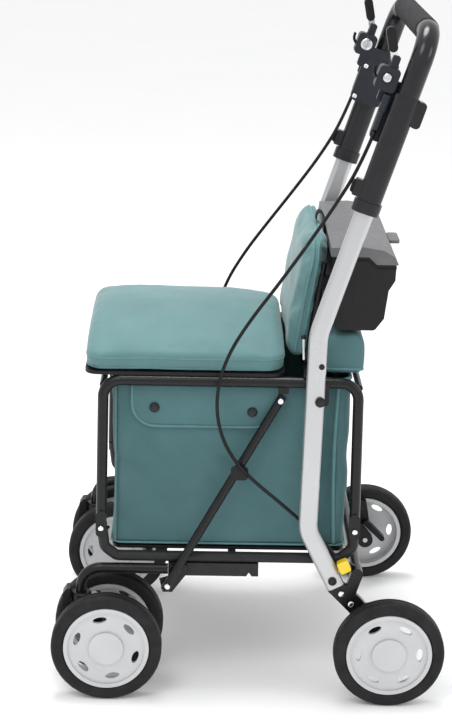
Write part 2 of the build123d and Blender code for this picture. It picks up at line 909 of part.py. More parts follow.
def cable_bends(points):
    """Fillet radius at each inner point: 0.45 of the shorter run over the half-turn's tangent."""
    radii = []
    for before, at, after in zip(points, points[1:], points[2:]):
        run_in = Vector(*at) - Vector(*before)
        run_out = Vector(*after) - Vector(*at)
        half_turn = radians(run_in.get_angle(run_out)) / 2
        radii.append(0.45 * min(run_in.length, run_out.length) / tan(half_turn))
    return radii


def brake_cable():
    points = cable_points + [cable_lead]
    bends = cable_bends(points)
    print("cable bend radii", [round(r) for r in bends])
    return bent_bar(points, bends, cable_radius)


# ---------------------------------------------------------------- make every piece
os.makedirs("parts", exist_ok=True)

inner_y = caster_y - twin_offset
outer_y = caster_y + twin_offset
sides = (("left", 1), ("right", -1))


def on_side(part, sign):
    return part if sign > 0 else mirrored(part)


for side, sign in sides:
    save(on_side(wheel_tyre(rear_x, rear_wheel_y), sign), f"rear_tyre_{side}")
    save(on_side(wheel_rim(rear_x, rear_wheel_y, 1), sign), f"rear_rim_{side}")
    save(on_side(wheel_tyre(caster_axle_x, outer_y), sign), f"caster_outer_tyre_{side}")
    save(on_side(wheel_rim(caster_axle_x, outer_y, 1, outer_turn), sign), f"caster_outer_rim_{side}")
    save(on_side(wheel_tyre(caster_axle_x, inner_y), sign), f"caster_inner_tyre_{side}")
    save(on_side(wheel_rim(caster_axle_x, inner_y, -1), sign), f"caster_inner_rim_{side}")
    save(on_side(caster_fork(), sign), f"caster_fork_{side}")
    save(on_side(side_tube(), sign), f"side_tube_{side}")
    save(on_side(brake_arm(), sign), f"brake_arm_{side}")
    save(on_side(height_button(), sign), f"height_button_{side}")
    save(on_side(brake_lever(), sign), f"brake_lever_{side}")
    save(on_side(lever_grip(), sign), f"lever_grip_{side}")
    save(on_side(brake_cable(), sign), f"brake_cable_{side}")

save(both_sides(rear_axle()), "rear_axles")
save(both_sides(rear_bracket()), "rear_brackets")
save(rear_crossbar(), "rear_crossbar")
save(both_sides(tube_screws()), "tube_screws")
save(fold_button(), "fold_button")
save(both_sides(fold_pivot()), "fold_pivots")
save(basket_crossbars(), "basket_crossbars")
save(both_sides(basket_frame()), "basket_frames")
save(base_frame(), "base_frame")
save(both_sides(frame_rivets()), "frame_rivets")
save(base_board(), "base_board")
save(both_sides(lower_rail()), "lower_rails")
save(both_sides(brace()), "diagonal_braces")
save(both_sides(brace_foot_bracket()), "brace_feet")
save(both_sides(cable_clip()), "cable_clips")
save(both_sides(caster_arm()), "caster_arms")
save(both_sides(caster_head()), "caster_heads")
save(both_sides(caster_lock()), "caster_locks")
save(bag(), "bag")
save(pocket_flap(), "pocket_flap")
save(flap_snaps(), "flap_snaps")
save(rear_cover(), "rear_cover")
save(seat_board(), "seat_board")
save(seat_pad(), "seat_pad")
save(backrest_pad(), "backrest_pad")
save(backrest_posts(), "backrest_posts")
save(backrest_strap(), "backrest_strap")
save(storage_box(), "storage_box")
save(box_lid(), "box_lid")
save(handle_grip(), "handle_grip")
save(both_sides(handle_leg()), "handle_legs")
save(both_sides(brake_housing()), "brake_housings")
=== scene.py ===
import json
import math

import bmesh
import bpy
from mathutils import Matrix, Vector, noise
from mathutils.bvhtree import BVHTree


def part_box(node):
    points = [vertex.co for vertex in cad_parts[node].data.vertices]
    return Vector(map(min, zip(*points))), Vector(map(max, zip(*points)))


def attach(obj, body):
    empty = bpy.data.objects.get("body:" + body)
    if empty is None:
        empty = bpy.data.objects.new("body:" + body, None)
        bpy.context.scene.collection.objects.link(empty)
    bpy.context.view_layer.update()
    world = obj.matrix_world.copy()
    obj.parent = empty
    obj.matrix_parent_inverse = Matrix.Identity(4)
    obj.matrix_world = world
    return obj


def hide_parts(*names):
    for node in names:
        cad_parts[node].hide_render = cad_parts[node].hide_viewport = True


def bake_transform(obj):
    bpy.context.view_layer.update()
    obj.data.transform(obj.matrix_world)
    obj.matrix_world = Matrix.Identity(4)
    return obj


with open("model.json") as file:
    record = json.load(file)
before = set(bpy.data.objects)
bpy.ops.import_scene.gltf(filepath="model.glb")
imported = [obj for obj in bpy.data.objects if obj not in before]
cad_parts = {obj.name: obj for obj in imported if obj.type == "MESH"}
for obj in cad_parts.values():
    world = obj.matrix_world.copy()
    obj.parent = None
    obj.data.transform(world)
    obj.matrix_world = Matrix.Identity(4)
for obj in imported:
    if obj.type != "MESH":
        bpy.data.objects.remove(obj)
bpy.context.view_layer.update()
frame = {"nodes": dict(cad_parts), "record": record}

nodes = frame["nodes"]
SIDES = (("left", 1), ("right", -1))

# ------------------------------------------------------------------ driving dimensions, metres
CAMERA_AT = (0.0756, 2.7752, 1.2930)
CAMERA_YAW, CAMERA_DOWN, CAMERA_ROLL = 0.791, 16.714, 1.183
CAMERA_LENS = 93.36
LEAN = math.radians(18.0)
PIPING = 0.0021
CABLE_RADIUS = 0.0026


# ------------------------------------------------------------------ camera, floor and light
def make_camera():
    yaw, down, roll = (math.radians(a) for a in (CAMERA_YAW, CAMERA_DOWN, CAMERA_ROLL))
    ahead = Vector((-math.sin(yaw) * math.cos(down), -math.cos(yaw) * math.cos(down), -math.sin(down)))
    right = ahead.cross(Vector((0, 0, 1))).normalized()
    up = right.cross(ahead)
    right, up = (
        math.cos(roll) * right + math.sin(roll) * up,
        math.cos(roll) * up - math.sin(roll) * right,
    )
    turn = Matrix((right, up, -ahead)).transposed().to_4x4()
    camera = bpy.data.objects.new("camera", bpy.data.cameras.new("camera"))
    camera.data.lens = CAMERA_LENS
    camera.data.sensor_width = 36
    camera.data.clip_end = 50
    camera.matrix_world = Matrix.Translation(CAMERA_AT) @ turn
    bpy.context.collection.objects.link(camera)
    bpy.context.scene.camera = camera


def area_light(name, at, aim, size, power):
    light = bpy.data.lights.new(name, "AREA")
    light.shape = "DISK"
    light.size = size
    light.energy = power
    obj = bpy.data.objects.new(name, light)
    obj.location = at
    obj.rotation_euler = (Vector(aim) - Vector(at)).to_track_quat("-Z", "Y").to_euler()
    bpy.context.collection.objects.link(obj)


def make_studio():
    scene = bpy.context.scene
    scene.view_settings.view_transform = "Standard"
    world = bpy.data.worlds.new("studio")
    world.use_nodes = True
    world.node_tree.nodes["Background"].inputs["Color"].default_value = (1.0, 1.0, 1.0, 1)
    world.node_tree.nodes["Background"].inputs["Strength"].default_value = 1.0
    scene.world = world
    area_light("key", (0.9, 1.9, 3.0), (0, 0, 0.4), 1.4, 22)
    area_light("top", (0.1, -0.3, 3.0), (0, 0, 0.5), 1.2, 46)
    area_light("rear_fill", (-2.4, 1.2, 1.4), (0, 0, 0.5), 1.0, 8)
    sheet = mesh_from("floor", [(-20, -20, 0), (20, -20, 0), (20, 20, 0), (-20, 20, 0)], [(0, 1, 2, 3)])
    sheet.data.materials.append(
        make_material("floor_paper", (0.93, 0.932, 0.935), 0.8, mottle=(2.0, 0.006), spec=0.1)
    )


# ------------------------------------------------------------------ materials
def make_material(
    name,
    colour,
    rough,
    metal=0.0,
    mottle=(60.0, 0.12),
    grain=None,
    weave=0.0,
    sheen=0.0,
    coat=0.0,
    wear=0.0,
    spec=0.5,
):
    """Principled material: mottled colour, varied roughness, and a bump of grain or weave."""
    material = bpy.data.materials.new(name)
    material.use_nodes = True
    tree = material.node_tree
    shader = tree.nodes["Principled BSDF"]
    shader.inputs["Metallic"].default_value = metal
    shader.inputs["Specular IOR Level"].default_value = spec
    shader.inputs["Sheen Weight"].default_value = sheen
    shader.inputs["Sheen Roughness"].default_value = 0.45
    shader.inputs["Coat Weight"].default_value = coat
    shader.inputs["Coat Roughness"].default_value = 0.18
    place = tree.nodes.new("ShaderNodeTexCoord").outputs["Object"]

    def noise_of(scale, detail=4.0):
        node = tree.nodes.new("ShaderNodeTexNoise")
        node.inputs["Scale"].default_value = scale
        node.inputs["Detail"].default_value = detail
        tree.links.new(place, node.inputs["Vector"])
        return node.outputs["Fac"]

    def ramp(value, low, high, start=0.3, stop=0.7):
        node = tree.nodes.new("ShaderNodeMapRange")
        node.inputs["From Min"].default_value = start
        node.inputs["From Max"].default_value = stop
        node.inputs["To Min"].default_value = low
        node.inputs["To Max"].default_value = high
        tree.links.new(value, node.inputs["Value"])
        return node.outputs["Result"]

    scale, amount = mottle
    mix = tree.nodes.new("ShaderNodeMix")
    mix.data_type = "RGBA"
    mix.inputs["A"].default_value = (*(c * (1 - amount) for c in colour), 1)
    mix.inputs["B"].default_value = (*(min(1, c * (1 + amount)) for c in colour), 1)
    tree.links.new(ramp(noise_of(scale), 0, 1), mix.inputs["Factor"])
    colour_out = mix.outputs["Result"]
    if wear:
        rubbed = tree.nodes.new("ShaderNodeMix")
        rubbed.data_type = "RGBA"
        rubbed.inputs["B"].default_value = (*(min(1, c * 1.6 + 0.03) for c in colour), 1)
        tree.links.new(colour_out, rubbed.inputs["A"])
        tree.links.new(ramp(noise_of(scale * 0.5, 8), 0, wear, 0.58, 0.72), rubbed.inputs["Factor"])
        colour_out = rubbed.outputs["Result"]
    tree.links.new(colour_out, shader.inputs["Base Color"])
    roughness = ramp(noise_of(scale * 2.3), rough * 0.85, min(1, rough * 1.15))
    tree.links.new(roughness, shader.inputs["Roughness"])

    height = None
    if weave:
        threads = []
        for axis in ("X", "Z"):
            wave = tree.nodes.new("ShaderNodeTexWave")
            wave.bands_direction = axis
            wave.inputs["Scale"].default_value = weave
            wave.inputs["Distortion"].default_value = 0.6
            tree.links.new(place, wave.inputs["Vector"])
            threads.append(wave.outputs["Fac"])
        cross = tree.nodes.new("ShaderNodeMath")
        cross.operation = "MULTIPLY"
        tree.links.new(threads[0], cross.inputs[0])
        tree.links.new(threads[1], cross.inputs[1])
        height = cross.outputs[0]
        strength, distance = 0.3, 0.0005
    elif grain:
        height = noise_of(grain[0], 6)
        strength, distance = grain[1], 0.0006
    if height is not None:
        bump = tree.nodes.new("ShaderNodeBump")
        bump.inputs["Strength"].default_value = strength
        bump.inputs["Distance"].default_value = distance
        tree.links.new(height, bump.inputs["Height"])
        tree.links.new(bump.outputs["Normal"], shader.inputs["Normal"])
    return material


TEAL = (0.060, 0.140, 0.148)
# Painted light: the same teal fabric as TEAL, painted lighter to stand in for the light that falls on the
# seat's top; the backrest uses it too.
SEAT_TEAL_PAINTED_LIGHT = (0.085, 0.190, 0.194)


def shade(colour, share):
    return tuple(min(1.0, c * share) for c in colour)


MAT = {
    "black_steel": make_material(
        "powder_coat", (0.006, 0.006, 0.007), 0.3, mottle=(90, 0.2), grain=(900, 0.12), spec=0.3
    ),
    "rail": make_material(
        "dark_grey_rail", (0.018, 0.018, 0.019), 0.5, mottle=(70, 0.15), grain=(700, 0.2), spec=0.25
    ),
    "silver": make_material("anodised", (0.50, 0.503, 0.512), 0.3, 0.7, (6, 0.02), (1200, 0.03)),
    "bright": make_material("bright_metal", (0.8, 0.8, 0.81), 0.2, 1.0, (120, 0.05), (1500, 0.05)),
    "plastic": make_material(
        "black_plastic", (0.007, 0.007, 0.008), 0.4, mottle=(80, 0.2), grain=(1400, 0.2), wear=0.1, spec=0.25
    ),
    "gloss": make_material(
        "gloss_black", (0.008, 0.008, 0.010), 0.2, mottle=(50, 0.2), grain=(300, 0.04), spec=0.4
    ),
    "housing": make_material(
        "housing_plastic", (0.018, 0.021, 0.028), 0.4, mottle=(90, 0.15), grain=(1300, 0.25), spec=0.25
    ),
    "box": make_material(
        "box_plastic", (0.008, 0.008, 0.009), 0.4, mottle=(60, 0.15), grain=(1600, 0.3), wear=0.08, spec=0.25
    ),
    "lid": make_material(
        "lid_plastic", (0.13, 0.131, 0.135), 0.5, mottle=(60, 0.06), grain=(1600, 0.3), spec=0.3
    ),
    "tyre": make_material(
        "tyre_rubber", (0.013, 0.013, 0.014), 0.6, mottle=(45, 0.25), grain=(500, 0.3), wear=0.12, spec=0.2
    ),
    "rim": make_material("rim_plastic", (0.5, 0.503, 0.512), 0.33, 0.1, (30, 0.03), (900, 0.06)),
    "yellow": make_material(
        "yellow_plastic", (0.8, 0.56, 0.015), 0.35, mottle=(60, 0.05), grain=(800, 0.05), coat=0.3
    ),
    "zinc": make_material("zinc_plate", (0.62, 0.62, 0.63), 0.28, 1.0, (90, 0.08), (900, 0.1)),
    "teal": make_material(
        "teal_fabric", TEAL, 0.7, mottle=(9, 0.14), weave=330, sheen=0.12, spec=0.3
    ),
    # Painted light: a lighter copy of the teal fabric standing in for the top light on the seat, worn by the
    # seat cushion and the backrest pad.
    "seat_teal_painted_light": make_material(
        "seat_fabric_painted_light", SEAT_TEAL_PAINTED_LIGHT, 0.62, mottle=(11, 0.08), weave=330, sheen=0.25, spec=0.4
    ),
    "teal_trim": make_material(
        "teal_piping", shade(TEAL, 1.45), 0.7, mottle=(40, 0.1), weave=500, sheen=0.2, spec=0.3
    ),
    "webbing": make_material(
        "webbing", (0.008, 0.008, 0.008), 0.8, mottle=(90, 0.2), weave=700, spec=0.2
    ),
    "foam": make_material(
        "foam_sleeve", (0.03, 0.03, 0.032), 0.95, mottle=(160, 0.35), grain=(650, 0.9), spec=0.15
    ),
    "cable": make_material(
        "cable_sheath", (0.004, 0.004, 0.005), 0.35, mottle=(100, 0.2), grain=(400, 0.1), spec=0.25
    ),
    "snap": make_material("dark_snap", (0.02, 0.02, 0.022), 0.25, 0.6, (120, 0.2), (600, 0.1)),
}
FINISH = {
    "black_steel": "black_steel",
    "silver_tube": "silver",
    "lever_metal": "bright",
    "black_plastic": "plastic",
    "leg_plastic": "gloss",
    "housing_plastic": "housing",
    "box_plastic": "box",
    "lid_plastic": "lid",
    "tyre": "tyre",
    "rim": "rim",
    "yellow_plastic": "yellow",
    "zinc": "zinc",
    "dark_fastener": "black_steel",
    "teal_fabric": "teal",
    "black_webbing": "webbing",
    "snap": "snap",
    "board": "plastic",
    "foam": "gloss",
    "cable": "cable",
}


def finish_cad():
    for part in frame["record"]["subparts"]:
        piece = nodes[part["node"]]
        material = MAT[FINISH[part["material_slot"]]]
        if part["node"] in ("base_frame", "lower_rails"):
            material = MAT["rail"]
        for slot in piece.material_slots:
            slot.material = material


# ------------------------------------------------------------------ mesh helpers
def mesh_from(name, points, faces, smooth=False):
    mesh = bpy.data.meshes.new(name)
    mesh.from_pydata([tuple(p) for p in points], [], faces)
    mesh.update()
    for face in mesh.polygons:
        face.use_smooth = smooth
    obj = bpy.data.objects.new(name, mesh)
    bpy.context.collection.objects.link(obj)
    return obj


def dress(obj, material, body=None):
    obj.data.materials.clear()
    obj.data.materials.append(MAT[material])
    if body:
        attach(obj, body)
    return obj


def apply_modifiers(obj):
    depsgraph = bpy.context.evaluated_depsgraph_get()
    mesh = bpy.data.meshes.new_from_object(obj.evaluated_get(depsgraph))
    obj.modifiers.clear()
    old = obj.data
    obj.data = mesh
    bpy.data.meshes.remove(old)
    for face in obj.data.polygons:
        face.use_smooth = True


def tube(name, points, radius, closed=False, material="teal_trim", body=None, order=4):
    curve = bpy.data.curves.new(name, "CURVE")
    curve.dimensions = "3D"
    curve.bevel_depth = radius
    curve.bevel_resolution = 4
    curve.resolution_u = 6
    spline = curve.splines.new("NURBS")
    spline.points.add(len(points) - 1)
    for point, place in zip(spline.points, points):
        point.co = (*place, 1)
    spline.order_u = order
    spline.use_cyclic_u = closed
    spline.use_endpoint_u = not closed
    curve.use_fill_caps = not closed
    obj = bpy.data.objects.new(name, curve)
    bpy.context.collection.objects.link(obj)
    return dress(obj, material, body)


def dome(name, at, radius, height, side, material, body, cross=True):
    """Low-headed screw or rivet facing +Y or -Y, with a cross recess."""
    rings = [(1.0, 0.0), (1.0, 0.35), (0.86, 0.75), (0.55, 0.95), (0.3, 1.0)]
    steps = 20
    points, faces = [], []
    for share, lift in rings:
        for k in range(steps):
            turn = 2 * math.pi * k / steps
            points.append(
                (
                    at[0] + radius * share * math.cos(turn),
                    at[1] + side * height * lift,
                    at[2] + radius * share * math.sin(turn),
                )
            )
    for ring in range(len(rings) - 1):
        for k in range(steps):
            a, b = ring * steps + k, ring * steps + (k + 1) % steps
            faces.append((a, b, b + steps, a + steps))
    points.append((at[0], at[1] + side * height * (0.45 if cross else 1.0), at[2]))
    last = (len(rings) - 1) * steps
    faces += [(last + k, last + (k + 1) % steps, len(points) - 1) for k in range(steps)]
    faces.append(tuple(range(steps - 1, -1, -1)))
    obj = mesh_from(name, points, faces, True)
    return dress(obj, material, body)


def crease_noise(point, scale, seed):
    return noise.noise(Vector(point) * scale + Vector((seed, 2 * seed, 0)))


def puff(node, name, voxel, pressure, cap, shrink=0.97):
    """A padded piece: the CAD solid, remeshed, blown up by cloth pressure, and capped."""
    source = nodes[node]
    obj = bpy.data.objects.new(name, source.data.copy())
    bpy.context.collection.objects.link(obj)
    low, high = (Vector(c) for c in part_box(node))
    middle = (low + high) / 2
    for vertex in obj.data.vertices:
        vertex.co = middle + (vertex.co - middle) * shrink
    remesh = obj.modifiers.new("remesh", "REMESH")
    remesh.mode = "VOXEL"
    remesh.voxel_size = voxel
    apply_modifiers(obj)
    start = [v.co.copy() for v in obj.data.vertices]
    cloth = obj.modifiers.new("cloth", "CLOTH")
    settings = cloth.settings
    settings.use_pressure = True
    settings.uniform_pressure_force = pressure
    settings.tension_stiffness = 12
    settings.bending_stiffness = 0.4
    settings.quality = 6
    settings.effector_weights.gravity = 0
    scene = bpy.context.scene
    for step in range(1, 21):
        scene.frame_set(step)
    apply_modifiers(obj)
    scene.frame_set(1)
    for vertex, place in zip(obj.data.vertices, start):
        move = vertex.co - place
        if move.length > cap:
            vertex.co = place + move.normalized() * cap
    return obj


def smooth_up(obj, levels=1):
    modifier = obj.modifiers.new("subdivide", "SUBSURF")
    modifier.levels = levels
    modifier.render_levels = levels
    apply_modifiers(obj)


# ------------------------------------------------------------------ seat and backrest
def rounded_rect(low, high, radius, count=12):
    """Points round a rounded rectangle in the XY plane, from its low and high corners."""
    points = []
    centres = (
        (high[0] - radius, high[1] - radius, 0),
        (low[0] + radius, high[1] - radius, 90),
        (low[0] + radius, low[1] + radius, 180),
        (high[0] - radius, low[1] + radius, 270),
    )
    for x, y, first in centres:
        for k in range(count):
            turn = math.radians(first + 90 * k / (count - 1))
            points.append((x + radius * math.cos(turn), y + radius * math.sin(turn)))
    dense = []
    for a, b in zip(points, points[1:] + points[:1]):
        steps = max(1, int(math.dist(a, b) / 0.012))
        dense += [(a[0] + (b[0] - a[0]) * s / steps, a[1] + (b[1] - a[1]) * s / steps) for s in range(steps)]
    return dense


def on_surface(tree, centre, place, lift=0.0):
    """The place's direction from a centre line, carried out to the surface that the tree holds."""
    start = Vector((centre[0], centre[1], place[2]))
    away = Vector((place[0] - centre[0], place[1] - centre[1], 0)).normalized()
    hit = tree.ray_cast(start, away)[0]
    return (hit if hit else Vector(place)) + away * lift


def surface_of(obj):
    bm = bmesh.new()
    bm.from_mesh(obj.data)
    tree = BVHTree.FromBMesh(bm)
    bm.free()
    return tree


def make_seat():
    low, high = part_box("seat_pad")
    cushion = puff("seat_pad", "seat_cushion", 0.006, 3.0, 0.004, 0.98)
    half_x = (high[0] - low[0]) / 2
    for vertex in cushion.data.vertices:
        x, y, z = vertex.co
        rise = max(0.0, (z - low[2]) / (high[2] - low[2]))
        u = (x - low[0]) / half_x - 1
        v = y / high[1]
        ends = 0.26 * max(0.0, -u) ** 3 + 0.20 * max(0.0, u) ** 4
        z = low[2] + (z - low[2]) * (1 - ends * min(1, rise * 2))
        top = min(1.0, rise * 1.6)
        pucker = 0.0022 * crease_noise((x * 3.2, y * 0.7, 0), 14, 3) * top * (0.25 + 0.75 * u * u)
        soft = 0.0028 * crease_noise((x * 0.8, y * 0.8, 0), 6, 12) * top
        vertex.co.z = z + pucker + soft
        side = 1 - min(1.0, abs(rise - 0.18) / 0.25)
        if side > 0 and abs(u) + abs(v) > 0.3:
            away = Vector((u**5, v**5, 0))
            away = away.normalized() if away.length > 1e-6 else away
            fold = 0.0026 * crease_noise((x * 2.2, y * 2.2, z * 2.5), 12, 9) - 0.0010
            vertex.co += away * fold * side
    smooth_up(cushion)
    dress(cushion, "seat_teal_painted_light", "seat")
    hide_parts("seat_pad")
    tree = surface_of(cushion)
    middle = ((low[0] + high[0]) / 2, 0.0)
    ring = rounded_rect((low[0], low[1]), (high[0], high[1]), 0.032)
    for name, rise, radius in (("low", 0.004, PIPING), ("seam", 0.0185, PIPING * 0.7)):
        points = []
        for x, y in ring:
            sway = 0.0012 * crease_noise((x * 2, y * 2, 0), 8, 7)
            points.append(on_surface(tree, middle, (x, y, low[2] + rise + sway), -0.0006))
        tube(f"seat_piping_{name}", points, radius, True, "teal_trim", "seat")


def make_backrest():
    low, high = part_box("backrest_pad")
    pad = puff("backrest_pad", "backrest_cushion", 0.005, 5.0, 0.009, 0.975)
    tall = high[2] - low[2]
    for vertex in pad.data.vertices:
        x, y, z = vertex.co
        up = (z - low[2]) / tall
        bulge = 0.007 * math.sin(math.pi * min(1, max(0, up))) * (1 - (y / high[1]) ** 2)
        lean_mid = low[0] + (1 - up) * (high[0] - low[0] - 0.02) + 0.01
        crease = 0.003 * crease_noise((x, y * 1.5, z * 2.5), 11, 5)
        if x > lean_mid:
            vertex.co.x = x + bulge + crease
    smooth_up(pad)
    dress(pad, "seat_teal_painted_light", "front_frame")
    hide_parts("backrest_pad")
    outline = []
    half = high[1] + 0.0005
    corner = 0.060
    slope = math.tan(math.radians(8.8))
    edge = [(half, low[2] + 0.012)]
    edge += [(half, low[2] + tall * s) for s in (0.2, 0.4, 0.55)]
    for k in range(9):
        turn = math.radians(90 * k / 8)
        edge.append((half - corner + corner * math.cos(turn), high[2] - corner + corner * math.sin(turn)))
    edge += [(0.06, high[2] + 0.0005), (0.0, high[2] + 0.0005)]
    for y, z in edge + [(-y, z) for y, z in reversed(edge[:-1])]:
        x = -0.0737 + 0.0095 - (z - 0.5) * slope
        outline.append((x + 0.0055, y, z))
    tree = surface_of(pad)
    for name, shift in (("front", 0.0), ("rear", -0.0115)):
        line = [tree.find_nearest(Vector((x + shift, y, z)))[0] for x, y, z in outline]
        tube(f"backrest_piping_{name}", line, PIPING, False, "teal_trim", "front_frame")
    x, y, z = -0.0735, high[1] + 0.002, 0.523
    pull = [(x, y, z + 0.016), (x, y + 0.003, z), (x - 0.001, y + 0.003, z - 0.014)]
    tube("zip_pull", pull, 0.0022, False, "bright", "front_frame", 3)
    slider = (x, y - 0.001, z + 0.019)
    dome("zip_slider", slider, 0.0042, 0.003, 1, "snap", "front_frame", False)


# ------------------------------------------------------------------ bag
def wrinkle(x, y, z):
    """How far the bag's wall stands out at a place, in metres."""
    low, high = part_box("bag")
    up = (z - low[2]) / (high[2] - low[2])
    free = math.sin(math.pi * min(1, max(0, up))) ** 0.6
    out = 0.0090 * crease_noise((x * 1.1, y * 1.1, z * 0.5), 9, 1)
    out += 0.0050 * crease_noise((x * 2.0 + z * 0.9, y * 2.0, z * 1.0), 11, 4)
    out -= 0.0045 * (1 - abs(crease_noise((x * 1.4 - z * 1.2, y * 1.4, z * 0.7), 8, 8)) * 2) ** 3
    return min(out - 0.0015, 0.0012) * free


def make_bag():
    low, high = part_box("bag")
    ring = rounded_rect((low[0] + 0.0015, low[1] + 0.0012), (high[0] - 0.0015, high[1] - 0.0012), 0.016, 8)
    dense = []
    for a, b in zip(ring, ring[1:] + ring[:1]):
        dense += [a, ((a[0] + b[0]) / 2, (a[1] + b[1]) / 2)]
    rows = 52
    count = len(dense)
    pleat_x = low[0] + 0.036
    points = []
    for row in range(rows + 1):
        z = low[2] + 0.0012 + (high[2] - low[2] - 0.0024) * row / rows
        for k, (x, y) in enumerate(dense):
            before, after = dense[k - 1], dense[(k + 1) % count]
            away = Vector((after[1] - before[1], before[0] - after[0], 0)).normalized()
            out = wrinkle(x, y, z)
            if abs(y) > high[1] - 0.01:
                near = (x - pleat_x) / 0.011
                out -= 0.010 * math.exp(-near * near) * (0.55 + 0.45 * math.sin(math.pi * row / rows))
                near = (x - pleat_x - 0.020) / 0.008
                out += 0.0012 * math.exp(-near * near)
            if row < 3:
                out -= 0.002 * (3 - row) / 3
            place = Vector((x, y, z)) + away * out
            points.append(place)
    faces = []
    for row in range(rows):
        for k in range(count):
            a, b = row * count + k, row * count + (k + 1) % count
            faces.append((a, b, b + count, a + count))
    middle_x = (low[0] + high[0]) / 2
    for share in (0.75, 0.4):
        base = len(points)
        for x, y in dense:
            dip = -0.0006 * (1 - share)
            points.append(Vector((middle_x + (x - middle_x) * share, y * share, low[2] + 0.0012 + dip)))
        previous = 0 if share == 0.75 else base - count
        for k in range(count):
            a, b = previous + k, previous + (k + 1) % count
            faces.append((b, a, base + k, base + (k + 1) % count))
    points.append(Vector((middle_x, 0, low[2] + 0.0008)))
    base = len(points) - 1 - count
    faces += [(base + (k + 1) % count, base + k, len(points) - 1) for k in range(count)]
    bag = mesh_from("bag_shell", points, faces, True)
    thick = bag.modifiers.new("cloth_thickness", "SOLIDIFY")
    thick.thickness = 0.0022
    thick.offset = -1
    apply_modifiers(bag)
    smooth_up(bag)
    dress(bag, "teal", "front_frame")
    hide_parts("bag")
    hem = [(x, y, high[2] - 0.003) for x, y in ring]
    tube("bag_hem", hem, 0.0028, True, "teal_trim", "front_frame")
    foot = [(x, y, low[2] + 0.004) for x, y in ring]
    tube("bag_foot_piping", foot, PIPING * 0.8, True, "teal_trim", "front_frame")
    for y in (high[1], low[1]):
        sign = 1 if y > 0 else -1
        side = "left" if sign > 0 else "right"
        seams = (
            ("front", high[0] - 0.008, 0.0, 0.0013, 0.0002),
            ("rear", pleat_x - 0.017, 0.004, 0.0026, 0.0006),
            ("mid", pleat_x + 0.021, -0.002, 0.0013, 0.0002),
        )
        for name, x, sway, radius, stand in seams:
            seam = []
            for t in (k / 10 for k in range(11)):
                z = low[2] + 0.008 + t * (high[2] - low[2] - 0.014)
                seam.append((x + sway * math.sin(t * 3), y + sign * stand, z))
            tube(
                f"bag_seam_{name}_{side}", seam, radius, False, "teal_trim", "front_frame"
            )


def make_flap():
    """Side pocket's flap: a thin closed panel with rounded lower corners, piping and two snaps."""
    low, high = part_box("pocket_flap")
    snap_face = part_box("flap_snaps")[1][1] - 0.0002
    columns, rows, corner = 60, 18, 0.034
    wide = high[0] - low[0]
    points, faces = [], []

    def bottom(x):
        edge = min(x - low[0], high[0] - x)
        if edge >= corner:
            return low[2]
        edge = max(edge, 0.0)
        return low[2] + corner - math.sqrt(max(0.0, corner**2 - (corner - edge) ** 2))

    for layer in (0, 1):
        for i in range(columns + 1):
            x = low[0] + wide * (0.5 - 0.5 * math.cos(math.pi * i / columns))
            for j in range(rows + 1):
                t = j / rows
                z = high[2] + (bottom(x) - high[2]) * t
                swell = 0.0016 * math.sin(math.pi * t) + 0.0008 * crease_noise((x, 0, z), 30, 2)
                y = low[1] + 0.0004 + max(0.0, swell) + (0.0018 if layer else 0.0)
                points.append((x, y, z))
    per = (columns + 1) * (rows + 1)
    for layer in (0, 1):
        for i in range(columns):
            for j in range(rows):
                a = layer * per + i * (rows + 1) + j
                quad = (a, a + 1, a + rows + 2, a + rows + 1)
                faces.append(quad if layer else quad[::-1])
    rim = [i * (rows + 1) for i in range(columns + 1)]
    rim += [columns * (rows + 1) + j for j in range(1, rows + 1)]
    rim += [i * (rows + 1) + rows for i in range(columns - 1, -1, -1)]
    rim += [j for j in range(rows - 1, 0, -1)]
    for a, b in zip(rim, rim[1:] + rim[:1]):
        faces.append((a, b, b + per, a + per))
    flap = mesh_from("flap_panel", points, faces, True)
    bm = bmesh.new()
    bm.from_mesh(flap.data)
    bmesh.ops.recalc_face_normals(bm, faces=bm.faces)
    bm.to_mesh(flap.data)
    bm.free()
    dress(flap, "teal", "front_frame")
    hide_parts("pocket_flap")
    y = high[1] - 0.0002
    edge = []
    for k in range(7):
        edge.append((low[0], y, high[2] - (high[2] - low[2] - corner) * k / 6))
    for k in range(1, 9):
        turn = math.radians(180 + 90 * k / 8)
        edge.append((low[0] + corner + corner * math.cos(turn), y, low[2] + corner + corner * math.sin(turn)))
    for k in range(1, 12):
        edge.append((low[0] + corner + (wide - 2 * corner) * k / 12, y, low[2]))
    for k in range(0, 9):
        turn = math.radians(270 + 90 * k / 8)
        x = high[0] - corner + corner * math.cos(turn)
        edge.append((x, y, low[2] + corner + corner * math.sin(turn)))
    for k in range(1, 7):
        edge.append((high[0], y, low[2] + corner + (high[2] - low[2] - corner) * k / 6))
    tube("flap_piping", edge, 0.0019, False, "teal_trim", "front_frame")
    for name, x, z in (("front", 0.143, 0.438), ("rear", -0.0005, 0.433)):
        cap = (x, snap_face, z)
        dome(f"snap_cap_{name}", cap, 0.0068, 0.0022, 1, "snap", "front_frame", False)


def make_rear_cover():
    low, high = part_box("rear_cover")
    cover = puff("rear_cover", "rear_cover_cushion", 0.006, 4.0, 0.006, 0.975)
    for vertex in cover.data.vertices:
        x, y, z = vertex.co
        up = (z - low[2]) / (high[2] - low[2])
        vertex.co.z = z + 0.003 * crease_noise((x * 3, y * 1.2, 0), 9, 6) * up
        vertex.co.y = y * (1 - 0.02 * up)
    smooth_up(cover)
    dress(cover, "teal", "front_frame")
    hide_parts("rear_cover")
    ring = rounded_rect((low[0], low[1]), (high[0], high[1]), 0.010)
    tree = surface_of(cover)
    line = [tree.find_nearest(Vector((x, y, low[2] + 0.005)))[0] for x, y in ring]
    tube("rear_cover_piping", line, PIPING, True, "teal_trim", "front_frame")


